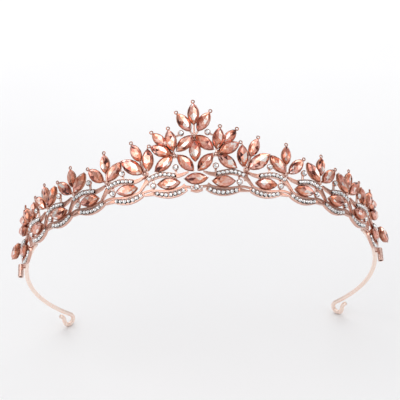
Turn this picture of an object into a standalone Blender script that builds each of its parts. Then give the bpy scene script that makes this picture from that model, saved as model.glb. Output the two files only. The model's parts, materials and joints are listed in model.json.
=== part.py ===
"""Bridal tiara: a band of eye-shaped links under a crest of leaf-shaped stones.

Lengths in this file are millimetres and angles are degrees; MM turns them into metres.

The crown is laid out on a cone that flares outward as it rises. A place on it is given by
  s  the distance round the band from the middle of the front, positive to the wearer's left,
  h  the height up the cone, where 0 is the line through the middle of the links,
  d  the distance outward from the back face of the castings.
Everything is built upright, round the middle of the ring, and an empty then raises the front.
"""

import math

import bmesh
import bpy
from mathutils import Matrix, Vector

MM = 0.001

# Driving dimensions.
FRONT_RAISED = 52.0
BAND_RADIUS = 76.5
FLARE = 9.0
CENTRE_LINK_HALF = 4.7
LINK_LENGTH = 16.7
LINKS_PER_SIDE = 6
FANS_PER_SIDE = 5
GAP = 0.3

# Leaf-shaped stones and their settings.
STONE_LENGTH = 8.4
STONE_WIDTH = 4.0
LARGE_STONE_LENGTH = 10.0
SETTING_RIM = 0.3
SETTING_BACK = -0.1
SETTING_RIM_TOP = 1.1
POCKET_FLOOR = 0.3
CULET_AT = 0.7
GIRDLE_AT = 1.6
GIRDLE_THICKNESS = 0.25
TABLE_AT = 2.6
TABLE_SCALE = 0.55
CULET_SCALE = 0.3
MARQUISE_FROM_LINK_START = 5.7
CENTRE_STONE_RAISED = 1.2

# Bars behind each link that tie its stone settings to its strands.
TIE_BOTTOM = -2.0
TIE_TOP = 3.1
TIE_FRONT = 0.4

# Round stones on their cups.
CUP_RADIUS = 1.25
CUP_RIM_TOP = 1.4
CUP_TOP = 2.0
CUP_FOOT_SCALE = 0.8
CUP_TABLE_SCALE = 0.6
ROUND_SIDES = 8
BESIDE_MARQUISE = (11.8, -0.1)
ABOVE_ARC_HEIGHT = 7.0
BELOW_SIDE_FLOWER = (2.8, 6.1)
STEM_WIDTH = 0.8
STEM_BOTTOM = 2.4
STEM_BACK = 0.2
STEM_FRONT = 0.9

# Strands of a link, as places (distance from the link's inner end, height) and half widths.
STRAND_BACK = 0.0
STRAND_FRONT = 1.2
UPPER_STRAND = ((0.15, 3.3), (2.9, 2.9), (6.5, 3.6), (9.4, 3.75), (13.2, 2.9), (16.55, -0.6))
UPPER_HALF_WIDTH = (0.5, 0.85, 0.95, 0.9, 0.85, 0.45)
LOWER_STRAND = ((0.15, -2.8), (2.4, -4.0), (5.6, -4.5), (8.8, -4.0), (12.0, -3.2), (15.8, -3.4))
LOWER_HALF_WIDTH = (0.6, 1.0, 1.1, 1.0, 0.7, 0.25)
INNER_STRAND = ((0.15, -1.1), (3.0, -2.2), (6.5, -2.6), (10.2, -2.3), (13.0, -1.7), (16.55, -2.2))
INNER_HALF_WIDTH = (0.35, 0.5, 0.55, 0.5, 0.45, 0.35)
INNER_FRONT = 0.9
STRAND_STEPS = 1

# Petals are (direction from the hub, distance to the stone's middle, its own tilt, its length).
CENTRE_HUB = (0.0, 18.4)
CENTRE_PETALS = (
    (90.0, 9.05, 90.0, STONE_LENGTH),
    (121.7, 6.8, 123.5, STONE_LENGTH),
    (58.3, 6.8, 56.5, STONE_LENGTH),
    (217.2, 4.6, 221.5, STONE_LENGTH),
    (322.8, 4.6, 318.5, STONE_LENGTH),
    (270.0, 5.9, 270.0, STONE_LENGTH),
)
SIDE_HUB = (7.8, 11.1)
SIDE_PETALS = (
    (81.0, 6.2, 81.0, STONE_LENGTH),
    (53.0, 8.7, 49.0, 7.1),
    (26.0, 5.5, 28.0, STONE_LENGTH),
    (323.0, 5.1, 323.5, STONE_LENGTH),
    (219.5, 5.35, 229.0, STONE_LENGTH),
)
ROUND_BETWEEN_PETALS = (4.9, 19.9)
ROUND_STEM = ((5.6, 19.6), (7.6, 18.7))
HUB_RADIUS = 0.85
HUB_BACK = -0.15
HUB_FRONT = 1.0
HUB_FRONT_SCALE = 0.8
RIB_HALF_WIDTH = 0.4
RIB_FRONT = 0.8
RIB_GOES_UNDER = 0.9

# Three-petal fans, standing near the joints between links.
FIRST_FAN_AT = 19.5
FAN_PITCH = 16.1
FAN_HUB_HEIGHT = 5.2
FAN_OUTER = (42.0, 5.6, 48.0, STONE_LENGTH)
FAN_INNER = (139.0, 5.1, 135.0, STONE_LENGTH)
FAN_MIDDLE = (92.0, 7.55, 91.0, 7.2)
FAN_MIDDLE_REACH_DROP = 0.95
FAN_MIDDLE_LENGTH_DROP = 0.35
FIRST_FAN = (
    (36.5, 5.9, 38.5, LARGE_STONE_LENGTH),
    (73.0, 9.35, 68.5, 7.6),
    (107.0, 5.6, 92.5, STONE_LENGTH),
)
ROUND_AFTER_FIRST_FAN = 9.0
ROUND_AFTER_FAN = 7.6
FAN_FOOT_WIDTH = 1.6
FAN_FOOT_BACK = -1.1
FAN_FOOT_FRONT = -0.4
FAN_FOOT_BOTTOM = 1.0
FAN_BLOCK_WIDTH = 2.2
FAN_BLOCK_BELOW = 0.35
FAN_BLOCK_ABOVE = 0.8
FAN_BLOCK_FRONT = 0.6

# The last fan, whose petals spread along the band.
LAST_FAN_AT = 82.5
LAST_FAN = (
    (28.0, 7.0, 20.0, STONE_LENGTH),
    (60.0, 4.6, 80.0, 6.6),
    (143.0, 5.0, 122.0, 6.6),
    (2.0, 9.9, 8.0, STONE_LENGTH),
)

# The last link sits lower than the others and holds a leaf that leans outward.
LAST_LINK_SHIFT = (1.5, -2.0)
END_LEAF = (104.2, 1.2, -25.0)
END_LEAF_OUT = 2.1
END_LEAF_LEAN = 16.0
END_LEAF_STRUT = (103.2, -0.4, 1.2)
END_LEAF_STRUT_WIDTH = 1.2

# Wire arms, ending in eyes for hair pins.
WIRE_RADIUS = 0.95
WIRE_SIDES = 8
ARM_STARTS_AT = 87.0
ARM_BEHIND = -1.4
ARM_HEIGHT = -3.0
ARM_SOLDERED_LENGTH = 9.0
ARM_FREE_LENGTH = 75.5
ARM_BEND_RADIUS = 130.0
ARM_END_RADIUS = 59.0
ARM_STEP = 4.0
EYE_PLANE = -54.0
EYE_PATH = (
    (1.6, 0.0),
    (3.4, 0.05),
    (5.1, 0.8),
    (5.9, 2.5),
    (5.2, 4.3),
    (3.4, 5.1),
    (1.6, 4.3),
    (0.3, 3.2),
    (-1.0, 2.7),
    (-2.4, 2.6),
)

# Short tube at each end of the band.
TUBE_RADIUS = 1.2
TUBE_BORE = 0.75
TUBE_LENGTH = 5.6
TUBE_SIDES = 12
TUBE_AT = (107.9, -3.4, 1.6)


def clear_scene():
    for obj in list(bpy.data.objects):
        bpy.data.objects.remove(obj, do_unlink=True)


def material(name, colour, metallic, roughness):
    made = bpy.data.materials.new(name)
    made.use_nodes = True
    shader = made.node_tree.nodes["Principled BSDF"]
    shader.inputs["Base Color"].default_value = (*colour, 1.0)
    shader.inputs["Metallic"].default_value = metallic
    shader.inputs["Roughness"].default_value = roughness
    return made


def crown_point(s, h, d):
    """The place on the crown's cone, in millimetres from the middle of the ring."""
    flare = math.radians(FLARE)
    angle = s / BAND_RADIUS
    out = BAND_RADIUS + h * math.sin(flare) + d * math.cos(flare)
    up = h * math.cos(flare) - d * math.sin(flare)
    return Vector((out * math.sin(angle), -out * math.cos(angle), up))


def crown_frame(s, h, turn):
    """Axes at a place on the crown: X along a stone turned by turn from the band, Z outward."""
    flare = math.radians(FLARE)
    angle = s / BAND_RADIUS
    along = Vector((math.cos(angle), math.sin(angle), 0.0))
    level = Vector((math.sin(angle), -math.cos(angle), 0.0))
    outward = level * math.cos(flare) - Vector((0.0, 0.0, math.sin(flare)))
    rise = outward.cross(along)
    frame = Matrix((along, rise, outward)).transposed().to_4x4()
    turned = frame @ Matrix.Rotation(math.radians(turn), 4, "Z")
    return Matrix.Translation(crown_point(s, h, 0.0)) @ turned


def smooth_points(points, steps):
    """A smooth curve through the points, with steps pieces between each pair."""
    points = [Vector(point) for point in points]
    padded = [2 * points[0] - points[1], *points, 2 * points[-1] - points[-2]]
    curve = []
    for i in range(len(points) - 1):
        before, start, end, after = padded[i : i + 4]
        for step in range(steps):
            t = step / steps
            pull = (end - before) * 0.5
            leave = (after - start) * 0.5
            curve.append(
                start * (2 * t**3 - 3 * t**2 + 1)
                + pull * (t**3 - 2 * t**2 + t)
                + end * (3 * t**2 - 2 * t**3)
                + leave * (t**3 - t**2)
            )
    curve.append(points[-1])
    return curve


def bridge_rings(mesh, rings):
    """Joins closed rings of points in order and caps both ends.

    The rings turn anticlockwise and run from back to front.
    """
    made = [[mesh.verts.new(point * MM) for point in ring] for ring in rings]
    for lower, upper in zip(made, made[1:]):
        for i in range(len(lower)):
            j = (i + 1) % len(lower)
            mesh.faces.new((lower[i], lower[j], upper[j], upper[i]))
    mesh.faces.new(list(reversed(made[0])))
    mesh.faces.new(made[-1])


def finished_mesh(name, build):
    """A mesh made by build, with its faces pointing out."""
    mesh = bmesh.new()
    build(mesh)
    bmesh.ops.recalc_face_normals(mesh, faces=mesh.faces)
    data = bpy.data.meshes.new(name)
    mesh.to_mesh(data)
    mesh.free()
    return data


def leaf_outline(length, width):
    """The pointed oval made by two arcs, anticlockwise from its +X tip."""
    half, side = length / 2, width / 2
    radius = (half**2 + side**2) / (2 * side)
    stations = (0.55 * half, 0.0, -0.55 * half)
    top = [Vector((x, math.sqrt(radius**2 - x**2) - radius + side, 0.0)) for x in stations]
    bottom = [Vector((point.x, -point.y, 0.0)) for point in reversed(top)]
    return [Vector((half, 0.0, 0.0)), *top, Vector((-half, 0.0, 0.0)), *bottom]


def round_outline(radius, sides):
    turns = [2 * math.pi * i / sides for i in range(sides)]
    return [Vector((radius * math.cos(turn), radius * math.sin(turn), 0.0)) for turn in turns]


def ring_at(outline, height, scale=1.0):
    return [Vector((point.x * scale, point.y * scale, height)) for point in outline]


def leaf_stone(length):
    """A cut stone: culet, girdle and table."""
    width = length * STONE_WIDTH / STONE_LENGTH
    outline = leaf_outline(length, width)

    def build(mesh):
        rings = [
            ring_at(outline, CULET_AT, CULET_SCALE),
            ring_at(outline, GIRDLE_AT),
            ring_at(outline, GIRDLE_AT + GIRDLE_THICKNESS),
            ring_at(outline, TABLE_AT, TABLE_SCALE),
        ]
        bridge_rings(mesh, rings)

    return finished_mesh("leaf_stone", build)


def leaf_setting(length):
    """The metal cup under a leaf-shaped stone, with a pocket that the stone's point sits in."""
    width = length * STONE_WIDTH / STONE_LENGTH
    outer = leaf_outline(length + 2 * SETTING_RIM, width + 2 * SETTING_RIM)
    inner = leaf_outline(length - 2 * SETTING_RIM, width - 2 * SETTING_RIM)

    def build(mesh):
        rings = [
            ring_at(outer, SETTING_BACK),
            ring_at(outer, SETTING_RIM_TOP),
            ring_at(inner, SETTING_RIM_TOP),
            ring_at(inner, POCKET_FLOOR, 0.6),
        ]
        bridge_rings(mesh, rings)

    return finished_mesh("leaf_setting", build)


def round_cup():
    """A small round stone in its cup."""
    outline = round_outline(CUP_RADIUS, ROUND_SIDES)

    def build(mesh):
        rings = [
            ring_at(outline, SETTING_BACK, CUP_FOOT_SCALE),
            ring_at(outline, CUP_RIM_TOP),
            ring_at(outline, CUP_TOP, CUP_TABLE_SCALE),
        ]
        bridge_rings(mesh, rings)

    return finished_mesh("round_cup", build)


def strand(name, places, half_widths, front):
    """A flat ribbon that follows the crown, from the back plane of the casting to front."""
    path = smooth_points([(*place, half) for place, half in zip(places, half_widths)], STRAND_STEPS)

    def build(mesh):
        rings = []
        for i, (s, h, half) in enumerate(path):
            ahead = path[min(i + 1, len(path) - 1)]
            behind = path[max(i - 1, 0)]
            across = Vector((behind.y - ahead.y, ahead.x - behind.x)).normalized() * half
            low = (s - across.x, h - across.y)
            high = (s + across.x, h + across.y)
            corners = ((low, STRAND_BACK), (high, STRAND_BACK), (high, front), (low, front))
            rings.append([crown_point(*place, d) for place, d in corners])
        bridge_rings(mesh, rings)

    return finished_mesh(name, build)


def upright_bar(name, s, width, bottom, top, back, front):
    """A straight bar up the crown."""

    def build(mesh):
        corners = ((-width / 2, back), (width / 2, back), (width / 2, front), (-width / 2, front))
        rings = [[crown_point(s + x, h, d) for x, d in corners] for h in (bottom, top)]
        bridge_rings(mesh, rings)

    return finished_mesh(name, build)


def fused(name, pieces):
    """One closed casting made of overlapping pieces, each a mesh and its placing matrix."""
    helpers = []
    for data, placing in pieces:
        helper = bpy.data.objects.new(name + "_helper", data)
        helper.matrix_world = placing
        bpy.context.collection.objects.link(helper)
        helpers.append(helper)
    others = bpy.data.collections.new(name + "_pieces")
    bpy.context.scene.collection.children.link(others)
    for helper in helpers[1:]:
        bpy.context.collection.objects.unlink(helper)
        others.objects.link(helper)
    union = helpers[0].modifiers.new("union", "BOOLEAN")
    union.operation = "UNION"
    union.operand_type = "COLLECTION"
    union.collection = others
    union.solver = "EXACT"
    bpy.context.view_layer.update()
    evaluated = helpers[0].evaluated_get(bpy.context.evaluated_depsgraph_get())
    casting = bpy.data.meshes.new_from_object(evaluated)
    casting.transform(helpers[0].matrix_world)
    casting.name = name
    for helper in helpers:
        bpy.data.objects.remove(helper, do_unlink=True)
    bpy.data.collections.remove(others)
    return casting


def mirrored(data):
    """The same shape on the other side of the front."""
    copy = data.copy()
    copy.transform(Matrix.Scale(-1.0, 4, (1.0, 0.0, 0.0)))
    copy.flip_normals()
    return copy


def placing(s, h, turn=0.0, d=0.0):
    frame = crown_frame(s, h, turn)
    offset = frame.to_3x3() @ Vector((0.0, 0.0, d))
    frame.translation = (frame.translation + offset) * MM
    return frame


def from_hub(hub, petal):
    direction, reach, tilt = petal[:3]
    turn = math.radians(direction)
    return hub[0] + reach * math.cos(turn), hub[1] + reach * math.sin(turn), tilt


def side_link_pieces(start, rise, single):
    """The pieces of a link whose inner end is at start, raised by rise."""
    strands = (
        ("inner_strand", INNER_STRAND, INNER_HALF_WIDTH, INNER_FRONT),
        ("upper_strand", UPPER_STRAND, UPPER_HALF_WIDTH, STRAND_FRONT),
        ("lower_strand", LOWER_STRAND, LOWER_HALF_WIDTH, STRAND_FRONT + 0.05),
    )
    pieces = [(leaf_setting(STONE_LENGTH), placing(start + MARQUISE_FROM_LINK_START, rise))]
    for name, places, halves, front in strands:
        moved = [(start + u, h + rise) for u, h in places]
        pieces.append((strand(name, moved, halves, front), Matrix()))
    u, h = BESIDE_MARQUISE
    pieces.append((round_cup(), placing(start + u, h + rise)))
    for name, at, top in (("tie", MARQUISE_FROM_LINK_START, TIE_TOP), ("cup_tie", u, h)):
        tie = upright_bar(name, start + at, STEM_WIDTH, TIE_BOTTOM + rise, top + rise, 0.0, TIE_FRONT)
        pieces.append((tie, Matrix()))
    if single:
        u, h = single
        stem = upright_bar(
            "stem", start + u, STEM_WIDTH, STEM_BOTTOM, h - 0.5, STEM_BACK, STEM_FRONT
        )
        pieces += [(round_cup(), placing(start + u, h)), (stem, Matrix())]
    return pieces


def end_leaf_place():
    lean = Matrix.Rotation(-math.radians(END_LEAF_LEAN), 4, "Y")
    return placing(*END_LEAF, END_LEAF_OUT) @ lean


def end_leaf_pieces():
    """The leaf on the end of the last link, and the strut that holds it away from the band."""
    s, bottom, top = END_LEAF_STRUT
    strut = upright_bar("strut", s, END_LEAF_STRUT_WIDTH, bottom, top, 0.5, END_LEAF_OUT + 0.3)
    return [(set_stone(STONE_LENGTH), end_leaf_place()), (strut, Matrix())]


def centre_link_pieces():
    half = CENTRE_LINK_HALF - GAP
    lower = ((-half, -1.6), (-2.2, -2.1), (2.2, -2.1), (half, -1.6))
    return [
        (leaf_setting(STONE_LENGTH), placing(0.0, CENTRE_STONE_RAISED)),
        (strand("centre_lower_strand", lower, (0.5, 1.2, 1.2, 0.5), STRAND_FRONT), Matrix()),
        (round_cup(), placing(0.0, -2.2)),
    ]


def flower_pieces(hub, petals):
    pieces = [(hub_disc(), placing(*hub))]
    for petal in petals:
        s, h, tilt = from_hub(hub, petal)
        pieces.append((leaf_setting(petal[3]), placing(s, h, tilt)))
        pieces.append((rib(hub, (s, h), petal[3]), Matrix()))
    return pieces


def rib(hub, middle, length):
    """A narrow strip from a hub to under the near end of a petal's setting."""
    hub, middle = Vector(hub), Vector(middle)
    reach = (middle - hub).length
    near_end = reach - length / 2 - SETTING_RIM
    end = hub.lerp(middle, (near_end + RIB_GOES_UNDER) / reach)
    return strand("rib", (tuple(hub), tuple(end)), (RIB_HALF_WIDTH, RIB_HALF_WIDTH), RIB_FRONT)


def hub_disc():
    outline = round_outline(HUB_RADIUS, ROUND_SIDES)

    def build(mesh):
        rings = [ring_at(outline, HUB_BACK), ring_at(outline, HUB_FRONT, HUB_FRONT_SCALE)]
        bridge_rings(mesh, rings)

    return finished_mesh("hub", build)


def fan_at(index):
    if index == FANS_PER_SIDE:
        return LAST_FAN_AT
    return FIRST_FAN_AT + FAN_PITCH * (index - 1)


def round_after_fan(index):
    return fan_at(index) + (ROUND_AFTER_FIRST_FAN if index == 1 else ROUND_AFTER_FAN)


def fan_petals(index):
    if index == 1:
        return FIRST_FAN
    if index == FANS_PER_SIDE:
        return LAST_FAN
    direction, reach, tilt, length = FAN_MIDDLE
    reach -= FAN_MIDDLE_REACH_DROP * (index - 2)
    length -= FAN_MIDDLE_LENGTH_DROP * (index - 2)
    return (FAN_OUTER, (direction, reach, tilt, length), FAN_INNER)


def fan_pieces(index):
    """A fan with its stones set, on a foot that is soldered behind the link."""
    hub = (fan_at(index), FAN_HUB_HEIGHT)
    foot = upright_bar(
        "foot", hub[0], FAN_FOOT_WIDTH, FAN_FOOT_BOTTOM, hub[1], FAN_FOOT_BACK, FAN_FOOT_FRONT
    )
    low, high = hub[1] - FAN_BLOCK_BELOW, hub[1] + FAN_BLOCK_ABOVE
    block = upright_bar(
        "block", hub[0], FAN_BLOCK_WIDTH, low, high, FAN_FOOT_BACK, FAN_BLOCK_FRONT
    )
    pieces = [(block, Matrix()), (foot, Matrix())]
    for petal in fan_petals(index):
        s, h, tilt = from_hub(hub, petal)
        pieces.append((set_stone(petal[3]), placing(s, h, tilt)))
        pieces.append((rib(hub, (s, h), petal[3]), Matrix()))
    return pieces


def set_stone(length):
    """A stone and its setting as one solid."""
    width = length * STONE_WIDTH / STONE_LENGTH
    rim = leaf_outline(length + 2 * SETTING_RIM, width + 2 * SETTING_RIM)
    outline = leaf_outline(length, width)

    def build(mesh):
        rings = [
            ring_at(rim, SETTING_BACK),
            ring_at(rim, SETTING_RIM_TOP),
            ring_at(outline, GIRDLE_AT),
            ring_at(outline, TABLE_AT, TABLE_SCALE),
        ]
        bridge_rings(mesh, rings)

    return finished_mesh("set_stone", build)


def arm_path():
    """Points along one wire arm in the ring's plane, then round the eye at its end."""
    start = crown_point(ARM_STARTS_AT, ARM_HEIGHT, ARM_BEHIND)
    heading = ARM_STARTS_AT / BAND_RADIUS
    point = start.copy()
    points = [point.copy()]
    length = ARM_SOLDERED_LENGTH + ARM_FREE_LENGTH
    count = round(length / ARM_STEP)
    fine = 10
    step = length / count / fine
    seated_radius = Vector((start.x, start.y)).length
    for i in range(count * fine):
        gone = (i + 0.5) * step
        free = (gone - ARM_SOLDERED_LENGTH) / ARM_FREE_LENGTH
        bend = 1 / ARM_BEND_RADIUS + (1 / ARM_END_RADIUS - 1 / ARM_BEND_RADIUS) * free
        if free < 0:
            bend = 1 / seated_radius
        heading += bend * step / 2
        point += Vector((math.cos(heading), math.sin(heading), 0.0)) * step
        heading += bend * step / 2
        if (i + 1) % fine == 0:
            points.append(point.copy())
    along = Vector((math.cos(heading), math.sin(heading), 0.0))
    outward = Vector((math.sin(heading), -math.cos(heading), 0.0))
    plane = math.radians(EYE_PLANE)
    across = outward * math.cos(plane) + Vector((0.0, 0.0, math.sin(plane)))
    eye = [point + along * a + across * b for a, b in EYE_PATH]
    return points + smooth_points([points[-1], *eye], 2)[1:]


def wire(name, points):
    """A round wire swept along the points."""

    def build(mesh):
        rings = []
        side = None
        for i, point in enumerate(points):
            tangent = (points[min(i + 1, len(points) - 1)] - points[max(i - 1, 0)]).normalized()
            if side is None:
                side = tangent.orthogonal().normalized()
            side = (side - tangent * side.dot(tangent)).normalized()
            other = tangent.cross(side)
            turns = [2 * math.pi * (k + 0.5) / WIRE_SIDES for k in range(WIRE_SIDES)]
            spokes = [side * math.cos(turn) + other * math.sin(turn) for turn in turns]
            rings.append([point + spoke * WIRE_RADIUS for spoke in spokes])
        bridge_rings(mesh, rings)

    return finished_mesh(name, build)


def end_tube():
    """An open tube, pointing down."""
    outer = round_outline(TUBE_RADIUS, TUBE_SIDES)
    inner = round_outline(TUBE_BORE, TUBE_SIDES)

    def build(mesh):
        rings = [(inner, 0.0), (outer, 0.0), (outer, -TUBE_LENGTH), (inner, -TUBE_LENGTH)]
        made = [[mesh.verts.new(point * MM) for point in ring_at(outline, z)] for outline, z in rings]
        for first, second in zip(made, made[1:] + made[:1]):
            for i in range(TUBE_SIDES):
                j = (i + 1) % TUBE_SIDES
                mesh.faces.new((first[i], first[j], second[j], second[i]))

    return finished_mesh("end_tube", build)


class Tiara:
    """Adds named pieces to the scene, all held by the empty that raises the front."""

    def __init__(self):
        self.pose = bpy.data.objects.new("worn_pose", None)
        self.pose.rotation_euler = (-math.radians(FRONT_RAISED), 0.0, 0.0)
        bpy.context.collection.objects.link(self.pose)
        self.metal = material("rose_gold", (0.78, 0.5, 0.4), 1.0, 0.22)
        self.wire_metal = material("rose_gold_wire", (0.82, 0.58, 0.48), 1.0, 0.3)
        self.crystal = material("champagne_glass", (0.72, 0.3, 0.18), 0.1, 0.06)
        self.cuts = {}

    def add(self, name, data, surface, matrix=None):
        if not data.materials:
            data.materials.append(surface)
        data.shade_smooth()
        data.set_sharp_from_angle(angle=math.radians(35))
        obj = bpy.data.objects.new(name, data)
        obj.parent = self.pose
        obj.matrix_basis = matrix or Matrix()
        bpy.context.collection.objects.link(obj)
        return obj

    def stone(self, name, length, s, h, tilt):
        if length not in self.cuts:
            self.cuts[length] = leaf_stone(length)
        self.add(name, self.cuts[length], self.crystal, placing(s, h, tilt))


def link_place(number):
    """Where a link's inner end lies along the band, and how far the link is raised."""
    start = CENTRE_LINK_HALF + LINK_LENGTH * (number - 1)
    if number == LINKS_PER_SIDE:
        return start + LAST_LINK_SHIFT[0], LAST_LINK_SHIFT[1]
    return start, 0.0


def add_links(tiara):
    tiara.add("link_centre", fused("link_centre", centre_link_pieces()), tiara.metal)
    tiara.stone("stone_link_centre", STONE_LENGTH, 0.0, CENTRE_STONE_RAISED, 0.0)
    for number in range(1, LINKS_PER_SIDE + 1):
        start, rise = link_place(number)
        last = number == LINKS_PER_SIDE
        single = BELOW_SIDE_FLOWER
        if number > 1:
            single = (round_after_fan(number - 1) - start, ABOVE_ARC_HEIGHT)
        pieces = side_link_pieces(start, rise, None if last else single)
        if last:
            pieces += end_leaf_pieces()
        shape = fused(f"link_{number}", pieces)
        tiara.add(f"link_right_{number}", shape, tiara.metal)
        tiara.add(f"link_left_{number}", mirrored(shape), tiara.metal)
        middle = start + MARQUISE_FROM_LINK_START
        tiara.stone(f"stone_link_right_{number}", STONE_LENGTH, middle, rise, 0.0)
        tiara.stone(f"stone_link_left_{number}", STONE_LENGTH, -middle, rise, 0.0)


def add_flowers(tiara):
    shape = fused("flower_centre", flower_pieces(CENTRE_HUB, CENTRE_PETALS))
    tiara.add("flower_centre", shape, tiara.metal)
    for number, petal in enumerate(CENTRE_PETALS, 1):
        place = from_hub(CENTRE_HUB, petal)
        tiara.stone(f"stone_flower_centre_{number}", petal[3], *place)
    pieces = flower_pieces(SIDE_HUB, SIDE_PETALS)
    pieces.append((round_cup(), placing(*ROUND_BETWEEN_PETALS)))
    pieces.append((strand("stem", ROUND_STEM, (RIB_HALF_WIDTH, RIB_HALF_WIDTH), RIB_FRONT), Matrix()))
    shape = fused("flower_side", pieces)
    tiara.add("flower_right", shape, tiara.metal)
    tiara.add("flower_left", mirrored(shape), tiara.metal)
    for side, word in ((1, "right"), (-1, "left")):
        for number, petal in enumerate(SIDE_PETALS, 1):
            s, h, tilt = from_hub(SIDE_HUB, petal)
            tilt = tilt if side > 0 else 180.0 - tilt
            tiara.stone(f"stone_flower_{word}_{number}", petal[3], side * s, h, tilt)


def add_fans(tiara):
    for number in range(1, FANS_PER_SIDE + 1):
        shape = fused(f"fan_{number}", fan_pieces(number))
        tiara.add(f"fan_right_{number}", shape, tiara.crystal)
        tiara.add(f"fan_left_{number}", mirrored(shape), tiara.crystal)


def add_arms(tiara):
    points = arm_path()
    shape = wire("headband_wire", points)
    tiara.add("headband_wire_right", shape, tiara.wire_metal)
    tiara.add("headband_wire_left", mirrored(shape), tiara.wire_metal)


def add_end_tubes(tiara):
    shape = end_tube()
    s, h, d = TUBE_AT
    for side, word in ((1, "right"), (-1, "left")):
        top = crown_point(side * s, h, d) * MM
        tiara.add(f"end_tube_{word}", shape, tiara.metal, Matrix.Translation(top))


def build_tiara():
    clear_scene()
    tiara = Tiara()
    add_links(tiara)
    add_flowers(tiara)
    add_fans(tiara)
    add_arms(tiara)
    add_end_tubes(tiara)


build_tiara()
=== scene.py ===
"""Looks of a bridal tiara: cut stones in rose-gold settings, paved strands and wire arms.

Lengths are millimetres and angles are degrees, as in the part's source; MM turns them into metres.
A place on the crown is (s, h, d): s round the band from the middle of the front, h up the flaring
cone, and d outward from the back face of the castings.
"""

import json
import math
import random

import bmesh
import bpy
from mathutils import Matrix, Vector

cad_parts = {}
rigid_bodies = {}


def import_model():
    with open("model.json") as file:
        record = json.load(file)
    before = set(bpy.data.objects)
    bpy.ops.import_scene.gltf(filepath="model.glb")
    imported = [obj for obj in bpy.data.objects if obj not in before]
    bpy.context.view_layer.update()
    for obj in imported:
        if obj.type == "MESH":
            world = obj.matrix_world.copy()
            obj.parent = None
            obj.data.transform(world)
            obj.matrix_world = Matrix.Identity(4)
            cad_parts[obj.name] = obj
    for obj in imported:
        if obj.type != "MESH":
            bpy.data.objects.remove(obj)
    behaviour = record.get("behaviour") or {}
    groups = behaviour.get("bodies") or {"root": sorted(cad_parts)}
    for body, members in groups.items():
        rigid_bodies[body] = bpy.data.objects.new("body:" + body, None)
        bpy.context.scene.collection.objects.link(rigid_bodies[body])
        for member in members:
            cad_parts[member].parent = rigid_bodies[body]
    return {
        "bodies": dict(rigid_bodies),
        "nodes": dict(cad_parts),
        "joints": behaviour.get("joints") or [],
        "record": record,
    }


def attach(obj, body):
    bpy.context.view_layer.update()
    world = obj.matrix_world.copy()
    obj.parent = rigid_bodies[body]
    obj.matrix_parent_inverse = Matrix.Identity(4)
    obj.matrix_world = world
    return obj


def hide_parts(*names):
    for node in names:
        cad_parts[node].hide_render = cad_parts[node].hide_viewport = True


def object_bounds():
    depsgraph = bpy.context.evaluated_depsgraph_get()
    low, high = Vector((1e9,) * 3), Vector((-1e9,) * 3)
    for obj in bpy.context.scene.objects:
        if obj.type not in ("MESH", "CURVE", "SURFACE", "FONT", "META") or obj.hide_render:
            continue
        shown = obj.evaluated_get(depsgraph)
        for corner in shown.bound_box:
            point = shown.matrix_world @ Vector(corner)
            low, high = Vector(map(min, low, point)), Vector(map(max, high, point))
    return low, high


MM = 0.001

# The ring.
FRONT_RAISED = 52.0
BAND_RADIUS = 76.5
FLARE = 9.0

# Links.
CENTRE_LINK_HALF = 4.7
LINK_LENGTH = 16.7
LINKS_PER_SIDE = 6
LAST_LINK_SHIFT = (1.5, -2.0)
MARQUISE_FROM_LINK_START = 5.7
CENTRE_STONE_RAISED = 1.2
BESIDE_MARQUISE = (11.8, -0.1)
BELOW_SIDE_FLOWER = (2.8, 6.1)
ABOVE_ARC_HEIGHT = 7.0

# Stems of the round stones above the strands.
STEM_HALF_WIDTH = 0.4
STEM_BOTTOM = 3.4
STEM_BELOW_STONE = 0.6
STEM_BACK = 0.2
STEM_FRONT = 0.95
ABOVE_ARC_OUT = 0.35

# Bars behind each link that tie its settings to its strands.
TIE_HALF_WIDTH = 0.4
TIE_BOTTOM = -2.0
TIE_TOP = 3.1
TIE_FRONT = 0.4

# Strands as (distance from the link's inner end, height, half width, groove depth).
UPPER_STRAND = (
    (-1.9, 4.2, 0.2, 0.05),
    (0.4, 3.3, 0.6, 0.1),
    (2.6, 2.9, 0.8, 0.14),
    (3.3, 3.0, 1.08, 0.5),
    (6.5, 3.7, 1.15, 0.5),
    (9.2, 4.0, 1.15, 0.5),
    (12.3, 3.3, 1.08, 0.5),
    (13.9, 2.4, 0.9, 0.3),
    (15.3, 0.9, 0.6, 0.14),
    (16.9, -1.1, 0.45, 0.1),
)
UPPER_PAVE = (3.2, 13.9)
LOWER_STRAND = (
    (-0.9, -2.5, 0.8, 0.3),
    (1.2, -3.6, 1.1, 0.5),
    (3.6, -4.3, 1.2, 0.5),
    (6.0, -4.45, 1.25, 0.5),
    (8.6, -4.0, 1.18, 0.5),
    (11.0, -3.3, 1.0, 0.5),
    (12.2, -3.2, 0.7, 0.14),
    (15.6, -3.5, 0.18, 0.03),
)
LOWER_PAVE = (-0.4, 11.2)
INNER_STRAND = (
    (-0.3, -0.7, 0.4, 0.1),
    (1.2, -1.8, 0.45, 0.14),
    (4.0, -2.4, 0.5, 0.14),
    (7.0, -2.6, 0.5, 0.14),
    (10.0, -2.3, 0.5, 0.14),
    (13.0, -1.7, 0.45, 0.14),
    (16.6, -2.2, 0.4, 0.1),
)
STRAND_FRONT = 1.2
INNER_FRONT = 0.95
LOWER_STRAND_FORWARD = 0.05

# A strand's section: two raised rims with a groove between them.
STRAND_STEPS = 6
EASED_DEPTH = 0.14
RIM_STARTS = 0.1
RIM_ENDS = 0.24
GROOVE_STARTS = 0.34
FULL_RIM_FROM = 0.8
LARGEST_RIM = 0.8

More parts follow.
